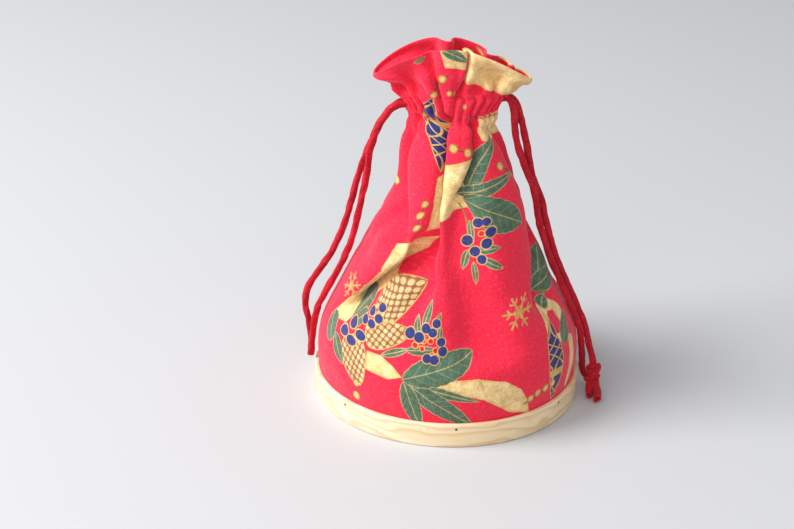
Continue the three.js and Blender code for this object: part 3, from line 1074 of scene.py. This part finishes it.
bag = {
    "columns": 336,
    "finer": 4,  # samples per column while the folds are worked out
    "bottomCut": 471 * mm,  # flat width at the lower edge
    "topCut": 250 * mm,  # flat width at the frill's rim
    "taper": 1.35,  # above 1 the cut keeps its width longer before it narrows
    "thickness": 0.5 * mm,
    "plyGap": 1.2 * mm,
    "pleats": 31,
    "seed": 21,
    "sideDrop": 0.86,  # how much lower the frill's rim hangs at its two side tips
    "backDrop": 0.16,  # how much the back rim sinks towards the right
    "channelBottom": 168,
    "frillFrom": 176,  # above this the rim starts to droop
    "pleatsRise": (142, 162),  # between which heights a gather starts
    "pleatsEnd": (187, 203),
    "steepest": 1.75,  # how far, in radians, the cloth may turn off its outline
    "outwardRoom": 0.4,  # how far folds may stand out past the outline
}

# half width, half depth, height, shift to the right, how pointed the sides are, rows up to the next
bagStations = [
    (74.7, 74.7, 4.9, 0, 1, 3),
    (74.7, 74.7, 13.4, 0, 1, 4),
    (75.6, 75.4, 20, 0, 1, 3),
    (75.9, 75.6, 28, 0.3, 1, 4),
    (74.6, 74, 38, 0.4, 1, 5),
    (69.8, 69, 50, 0.4, 1, 6),
    (61.8, 61, 66, 0.4, 1, 6),
    (54.5, 53, 82, 0.3, 1, 6),
    (48.3, 46, 98, 0.2, 1, 6),
    (42.6, 39.5, 114, 2.2, 1, 6),
    (36.2, 33, 130, 3.6, 1, 6),
    (31.4, 26.5, 146, 0.6, 1, 6),
    (27.8, 20.5, 159, -0.8, 1, 6),
    (26.2, 16, 168, -1.2, 1, 7),
    (27.2, 15.6, 174.5, -1.2, 1, 7),
    (32.4, 15.4, 180, -1.2, 0.96, 5),
    (38, 15, 186, -1.2, 0.9, 5),
    (41.6, 14.6, 193, -1.4, 0.8, 5),
    (43.2, 14.4, 200, -1.5, 0.72, 5),
    (43.8, 14, 207, -1.5, 0.68, 0),
]

# Each fold: how far its bottom leans to the right, then its course up the bag as
# (height, degrees round from the front, half width of cloth, strength), in millimetres and degrees.
bagFolds = [
    (0.95, [
        (60, -24, 9, 0), (72, -21, 8, 0.4), (86, -18, 8, 0.9), (103, -16, 7, 1.5),
        (121, -20, 7, 2), (133, -18, 6.5, 2.2), (150, -9, 6, 2.2), (160, -7, 5, 1.8),
        (171, -6, 4, 0.3), (174, -6, 4, 0),
    ]),
    (-0.6, [
        (36, 19, 13, 0), (50, 18, 13, 0.3), (68, 16, 12, 0.4), (84, 12, 12, 0.4),
        (99, 8, 10, 0.45), (119, 5, 8, 0.5), (127, 4, 6, 0.9), (135, 10, 5, 1.4),
        (142, 18, 5, 1.6), (150, 27, 5, 1.6), (163, 31, 4.5, 1.4), (172, 27, 4, 0),
    ]),
    (0.7, [
        (96, -38, 6, 0), (104, -43, 6, 0.9), (119, -52, 6, 1.3), (128, -61, 6, 1.4),
        (139, -66, 6, 1.4), (151, -64, 5, 1.3), (161, -58, 4.5, 1), (171, -48, 4, 0),
    ]),
    (-0.9, [
        (50, -72, 8, 0), (58, -63, 8, 0.5), (70, -52, 9, 1.1), (85, -36, 8, 1.5),
        (95, -28, 7, 1.3), (105, -25, 6, 0.5), (114, -24, 6, 0),
    ]),
    (0.2, [(80, -80, 6, 0), (92, -74, 5, 0.3), (108, -63, 5, 0.4), (120, -56, 5, 0)]),
    (-0.8, [
        (58, 62, 9, 0), (66, 64, 8, 0.5), (75, 66, 8, 1), (85, 70, 8, 1.2),
        (95, 78, 7, 1.2), (110, 84, 7, 1), (130, 84, 6, 0.9), (150, 80, 5, 0.8),
        (162, 76, 4, 0),
    ]),
    (0.2, [(58, 104, 9, 0), (90, 104, 8, 0.8), (120, 108, 6, 1.1), (155, 110, 5, 1), (170, 110, 4, 0)]),
    (-0.3, [
        (34, 138, 12, 0), (66, 136, 10, 0.7), (100, 136, 8, 1.1), (155, 138, 5, 1.1),
        (170, 138, 4, 0),
    ]),
    (0.4, [
        (50, 171, 10, 0), (90, 168, 9, 0.9), (125, 166, 6, 1.2), (155, 164, 5, 1.1),
        (171, 164, 4, 0),
    ]),
    (0.2, [
        (30, -152, 12, 0), (70, -154, 10, 0.8), (110, -158, 8, 1.1), (155, -160, 5, 1.1),
        (171, -160, 4, 0),
    ]),
    (-0.4, [
        (54, -118, 9, 0), (90, -122, 8, 0.8), (125, -126, 6, 1.1), (155, -128, 5, 1.1),
        (171, -130, 4, 0),
    ]),
    (0.3, [
        (88, -92, 8, 0), (110, -94, 7, 0.7), (140, -96, 5, 0.9), (158, -98, 4.5, 0.9),
        (170, -98, 4, 0),
    ]),
]
frillFolds = [
    (0.1, [(178, -11, 3, 0.4), (186, -11, 3, 0.7), (196, -9.5, 3, 0.7), (210, -9, 3, 0.5)]),
    (-0.3, [(178, 7, 3, 0.8), (186, 7, 3, 1.7), (196, 6.5, 3, 1.9), (210, 5.5, 3.2, 1.9)]),
    (0, [(178, 21, 3, 0.6), (187, 19, 3.5, 0.9), (195, 17, 4.5, 0.5), (203, 15, 6, 0)]),
    (0, [(178, 42, 3.5, 0.6), (188, 36, 4.5, 1), (196, 28, 6, 0.6), (204, 23, 7, 0)]),
    (0, [(178, 70, 4, 0.6), (186, 68, 5, 0.6), (194, 62, 7, 0)]),
    (0, [(178, -31, 3.5, 0.6), (188, -29, 4.5, 0.7), (200, -27, 6, 0.25), (208, -26, 7, 0)]),
    (0, [(178, -52, 4, 0.6), (187, -56, 5, 0.5), (196, -60, 6, 0)]),
    (0.1, [(180, 104, 4, 0.5), (190, 106, 5, 0.8), (200, 108, 5, 0.8), (210, 108, 5, 0.6)]),
    (0, [(180, 132, 4, 0.6), (190, 132, 4.5, 1), (210, 132, 5, 1)]),
    (0.2, [(180, 158, 4, 0.7), (190, 158, 4.5, 1.1), (210, 158, 5, 1.1)]),
    (-0.2, [(180, -176, 4, 0.7), (190, -177, 4.5, 1.1), (210, -178, 5, 1.1)]),
    (0, [(180, -148, 4, 0.6), (188, -148, 5, 0.7), (200, -148, 7, 0)]),
    (0, [(180, -118, 4, 0.5), (188, -118, 5, 0.6), (199, -118, 7, 0)]),
]


def pleatFolds():
    # the small uneven gathers that the drawstrings pull the neck into
    random = np.random.default_rng(bag["seed"])
    pitch = 360 / bag["pleats"]
    flatPitch = (bag["topCut"] / mm + 24) / bag["pleats"]
    pleats = []
    for i in range(bag["pleats"]):
        at = -180 + pitch * (i + 0.5 + random.uniform(-0.26, 0.26))
        width = flatPitch * random.uniform(0.15, 0.23)
        strength = random.uniform(0.8, 1.5)
        start = random.uniform(*bag["pleatsRise"])
        end = random.uniform(*bag["pleatsEnd"])
        drift = random.uniform(-2, 2)
        course = [(start, at + drift, width * 1.5, 0), (170, at, width, strength)]
        course += [(177.5, at, width, strength), (end, at - drift, width * 1.4, 0)]
        pleats.append((0, course))
    return pleats


def foldAt(fold, z):
    # where a fold is at one height: angle, half width, strength, lean
    course = np.array(fold[1], float)
    if z <= course[0, 0] or z >= course[-1, 0] and course[-1, 3] == 0:
        return None
    angle, width, strength = (float(np.interp(z, course[:, 0], course[:, k])) for k in (1, 2, 3))
    near = smoothStep(course[0, 0], course[1, 0], z)
    strength = strength if z >= course[1, 0] else course[1, 3] * float(near)
    return angle, width, strength, fold[0]


def foldedRow(station, flatWidth, folds):
    # one level of the cloth: its real flat width laid in folds round the outline at that height
    halfWidth, halfDepth, z, shift, point = station[:5]
    count = bag["columns"] * bag["finer"]
    u = np.linspace(-0.5, 0.5, count + 1)
    full = flatWidth / mm
    s = u * full
    ds = full / count
    phi = np.linspace(-math.pi, math.pi, 1441)
    outlineX = halfWidth * np.sign(np.sin(phi)) * np.abs(np.sin(phi)) ** min(1, point)
    outlineY = -halfDepth * np.sign(np.cos(phi)) * np.abs(np.cos(phi)) ** point
    reach = np.concatenate([[0], np.cumsum(np.hypot(np.diff(outlineX), np.diff(outlineY)))])
    perimeter = reach[-1]
    here = [found for found in (foldAt(fold, z) for fold in folds) if found and found[2] > 1e-3]
    bearings = [math.radians((fold[0] + 180) % 360 - 180) for fold in here]
    wanted = np.array([np.interp(bearing, phi, reach) - perimeter / 2 for bearing in bearings])
    centres = wanted * full / perimeter
    steepest = bag["steepest"]
    # the folds are made as steep as it takes to use up the cloth, then moved back to where they belong
    for _ in range(6):
        turning = np.zeros_like(s)
        leaning = np.zeros_like(s)
        for (angle, width, strength, lean), centre in zip(here, centres):
            q = ((s - centre + full / 2) % full - full / 2) / width
            near = np.exp(0.5 * (1 - q * q))
            turning += strength * q * near
            leaning += lean * min(1, strength) * near / math.exp(0.5)
        low, high = 0.0, 2.6
        for _ in range(14):
            middle = (low + high) / 2
            capped = steepest * np.tanh(middle * turning / steepest)
            if np.sum(np.cos(capped[:-1])) * ds > perimeter:
                low = middle
            else:
                high = middle
        turn = steepest * np.tanh(low * turning / steepest)
        progress = np.concatenate([[0], np.cumsum(np.cos((turn[1:] + turn[:-1]) / 2)) * ds])
        progress *= perimeter / progress[-1]
        if len(centres):
            found = np.interp((centres + full / 2) % full - full / 2, s, progress) - progress[count // 2]
            off = (wanted - found + perimeter / 2) % perimeter - perimeter / 2
            centres = centres + 0.8 * off * full / perimeter
    depth = np.concatenate([[0], np.cumsum(np.sin((turn[1:] + turn[:-1]) / 2)) * ds])
    depth -= depth[-1] * (u + 0.5)
    depth -= np.percentile(depth, 92)
    most = bag["outwardRoom"]
    depth = np.where(depth > 0, most * np.tanh(depth / most), depth)
    place = (progress - progress[count // 2] + perimeter / 2) % perimeter
    x = np.interp(place, reach, outlineX)
    y = np.interp(place, reach, outlineY)
    ahead = (place + 0.6) % perimeter
    behind = (place - 0.6) % perimeter
    tx = np.interp(ahead, reach, outlineX) - np.interp(behind, reach, outlineX)
    ty = np.interp(ahead, reach, outlineY) - np.interp(behind, reach, outlineY)
    size = np.hypot(tx, ty) + 1e-9
    tx, ty = tx / size, ty / size
    x = x + ty * depth - tx * leaning * depth
    y = y - tx * depth - ty * leaning * depth
    frill = max(0, z - bag["frillFrom"])
    across = np.clip(x / halfWidth, -1, 1)
    z = z - frill * (0.35 + frill / 100) * bag["sideDrop"] * np.abs(across) ** 1.7
    z = z - frill * bag["backDrop"] * across * (y > 0) * (1 - across**2)
    row = np.stack([x + shift, y, np.broadcast_to(z, x.shape)], 1) * mm
    return row[:-1:bag["finer"]]


def clothGrid():
    t = []
    for i, station in enumerate(bagStations[:-1]):
        t += list(i + np.arange(station[5]) / station[5])
    t.append(len(bagStations) - 1)
    rows = smoothThrough(bagStations, t)
    middle = (rows[:, 0] + rows[:, 1]) / 2
    rise = np.hypot(np.diff(middle), np.diff(rows[:, 2])) * mm
    reach = np.concatenate([[0], np.cumsum(rise)])
    widths = bag["bottomCut"] + (bag["topCut"] - bag["bottomCut"]) * (reach / reach[-1]) ** bag["taper"]
    folds = bagFolds + frillFolds + pleatFolds()
    outer = np.array([foldedRow(row, width, folds) for row, width in zip(rows, widths)])
    return outer, reach, widths, rows


def gridNormals(grid):
    across = np.roll(grid, -1, axis=1) - np.roll(grid, 1, axis=1)
    upward = np.gradient(grid, axis=0)
    normal = np.cross(across, upward)
    return normal / (np.linalg.norm(normal, axis=2)[:, :, None] + 1e-12)


def smoothGrid(grid, rounds, fromRow=0, toRow=None):
    for _ in range(rounds):
        mean = (np.roll(grid, 1, axis=1) + np.roll(grid, -1, axis=1)) / 4
        mean[1:-1] += (grid[2:] + grid[:-2]) / 4
        mean[0] += grid[0] / 2
        mean[-1] += grid[-1] / 2
        grid[fromRow:toRow] = mean[fromRow:toRow]
    return grid


def layBakeMap(piece, faceCount, length):
    # its own flat map: outer side large, inner side in a strip above it, cut edges in a thin row at the top
    mesh = piece.data
    plan = np.zeros(len(mesh.loops) * 2)
    mesh.uv_layers["clothPlan"].data.foreach_get("uv", plan)
    plan = plan.reshape(-1, 2)
    across, up = plan[:, 0] / bag["bottomCut"] * 0.98 + 0.5, plan[:, 1] / length
    inner = np.arange(len(up)) >= faceCount * 4
    up = np.where(inner, 0.8 + up * 0.17, 0.005 + up * 0.785)
    edges = np.arange(faceCount * 8, len(up))
    cells = len(edges) / 4
    across[edges] = 0.01 + 0.98 * ((edges - faceCount * 8) // 4 + np.isin(edges % 4, (1, 2)) * 0.8) / cells
    up[edges] = 0.98 + 0.012 * (edges % 4 > 1)
    mesh.uv_layers.new(name="OFBake").data.foreach_set("uv", np.stack([across, up], 1).reshape(-1))


def makeBag():
    outer, reach, widths, rows = clothGrid()
    firstFree = sum(station[5] for station in bagStations[:2])
    outer = smoothGrid(outer, 2, firstFree)
    inward = -gridNormals(outer) * bag["plyGap"]
    # the cloth turns in at the rim and runs down again to below the channel
    channelRow = int(np.argmin(np.abs(rows[:, 2] - bag["channelBottom"] + 2)))
    facing = (outer + inward)[channelRow:][::-1]
    rim = outer[-1:] + inward[-1:] * 0.5 + np.array([0, 0, 0.5 * mm])
    grid = np.concatenate([outer, rim, facing])
    last = reach[-1]
    turnIn = 0.8 * mm
    plan = np.concatenate([reach, [last + turnIn], 2 * last + 2 * turnIn - reach[channelRow:][::-1]])
    across = np.concatenate([widths, [widths[-1]], widths[channelRow:][::-1]])
    rowCount, columns = grid.shape[:2]
    faces = ringFaces(rowCount, columns)
    piece = newPiece("printed_bag", grid.reshape(-1, 3), faces, clothMaterial)
    layer = piece.data.uv_layers.new(name="clothPlan")
    flat = []
    for i in range(rowCount - 1):
        for j in range(columns):
            left, right = j / columns - 0.5, (j + 1) / columns - 0.5
            flat += [(left * across[i], plan[i]), (right * across[i], plan[i])]
            flat += [(right * across[i + 1], plan[i + 1]), (left * across[i + 1], plan[i + 1])]
    layer.data.foreach_set("uv", np.array(flat).reshape(-1))
    addModifier(piece, "SOLIDIFY", thickness=bag["thickness"], offset=-1)
    applyModifiers(piece)
    length = float(plan[-1])
    layBakeMap(piece, len(faces), length)
    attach(piece, "root")
    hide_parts("pouch_body")
    return piece


makeBag()

hoop = {
    "radius": 77.4 * mm,
    "wall": 2.5 * mm,
    "height": 14 * mm,
    "sides": 192,
    "edge": 0.55 * mm,
    "seamGap": 0.5 * mm,
}


def makeHoop():
    # one bent band, closed by an upright seam at the back
    deselectAll()
    bpy.ops.mesh.primitive_cylinder_add(
        vertices=hoop["sides"],
        radius=hoop["radius"],
        depth=hoop["height"],
        end_fill_type="NOTHING",
        calc_uvs=False,
        location=(0, 0, hoop["height"] / 2),
    )
    band = bpy.context.object
    band.name = "pine_band"
    bpy.ops.object.transform_apply(location=True)
    bpy.ops.object.mode_set(mode="EDIT")
    bpy.ops.mesh.select_mode(type="FACE")
    bpy.ops.mesh.select_all(action="DESELECT")
    bpy.ops.object.mode_set(mode="OBJECT")
    backFace = max(band.data.polygons, key=lambda face: face.center.y - abs(face.center.x) * 0.5)
    corners = [tuple(band.data.vertices[v].co) for v in backFace.vertices]
    backFace.select = True
    bpy.ops.object.mode_set(mode="EDIT")
    bpy.ops.mesh.delete(type="FACE")
    bpy.ops.mesh.select_mode(type="VERT")
    seamAngle = math.atan2(sum(c[0] for c in corners), sum(c[1] for c in corners))
    for corner in corners:
        bpy.ops.mesh.select_all(action="DESELECT")
        bpy.ops.object.mode_set(mode="OBJECT")
        for vertex in band.data.vertices:
            vertex.select = (vertex.co - Vector(corner)).length < 1e-6
        bpy.ops.object.mode_set(mode="EDIT")
        angle = math.atan2(corner[0], corner[1]) - seamAngle
        wanted = math.copysign(hoop["seamGap"] / 2 / hoop["radius"], angle)
        bpy.ops.transform.rotate(
            value=wanted - angle, orient_axis="Z", orient_type="GLOBAL", center_override=(0, 0, 0)
        )
    bpy.ops.object.mode_set(mode="OBJECT")
    addModifier(band, "SOLIDIFY", thickness=hoop["wall"], offset=-1, use_even_offset=True)
    sharp = math.radians(40)
    addModifier(band, "BEVEL", width=hoop["edge"], segments=3, limit_method="ANGLE", angle_limit=sharp)
    applyModifiers(band)
    band.data.materials.append(bandMaterial)
    deselectAll()
    activate(band)
    bpy.ops.object.shade_smooth_by_angle(angle=math.radians(35))
    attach(band, "root")
    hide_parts("outer_hoop")
    return band


makeHoop()
print("hoop bent")


def dressFrame():
    # the parts that stay as they are get real wood and metal
    dressed = [("inner_hoop", innerBandMaterial), ("base_board", boardMaterial)]
    dressed += [(f"hoop_nail_{i + 1}", nailMaterial) for i in range(7)]
    for name, material in dressed:
        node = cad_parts[name]
        node.data.materials.clear()
        node.data.materials.append(material)


dressFrame()

room = {
    "tableTone": (0.56, 0.565, 0.575, 1),
    "tableRoughness": 0.6,
    "airTone": (0.93, 0.96, 1, 1),
    "airStrength": 0.48,
    "lampsAim": (0, 0, 0.08),
    "lamps": [  # name, place, size, watts, colour
        ("window", (-1.9, -0.45, 1.7), 1.5, 88, (1, 0.995, 0.99)),
        ("fill", (-0.3, -2.2, 1.6), 2.2, 25, (1, 0.99, 0.98)),
    ],
}


def makeStage():
    deselectAll()
    bpy.ops.mesh.primitive_plane_add(size=12, location=(0, 0, -0.0002))
    floor = bpy.context.object
    floor.name = "floor"
    material, _, shader = startMaterial("pale table")
    shader.inputs["Base Color"].default_value = room["tableTone"]
    shader.inputs["Roughness"].default_value = room["tableRoughness"]
    floor.data.materials.append(material)
    world = bpy.data.worlds.new("soft room")
    bpy.context.scene.world = world
    world.use_nodes = True
    air = world.node_tree.nodes["Background"]
    air.inputs["Color"].default_value = room["airTone"]
    air.inputs["Strength"].default_value = room["airStrength"]
    for name, place, size, power, colour in room["lamps"]:
        data = bpy.data.lights.new(name, "AREA")
        data.energy = power
        data.size = size
        data.color = colour
        lamp = bpy.data.objects.new(name, data)
        bpy.context.collection.objects.link(lamp)
        lamp.location = place
        lamp.rotation_mode = "QUATERNION"
        aim = Vector(room["lampsAim"]) - lamp.location
        lamp.rotation_quaternion = aim.to_track_quat("-Z", "Y")
    bpy.context.scene.view_settings.view_transform = "Standard"


makeStage()
print("stage lit")
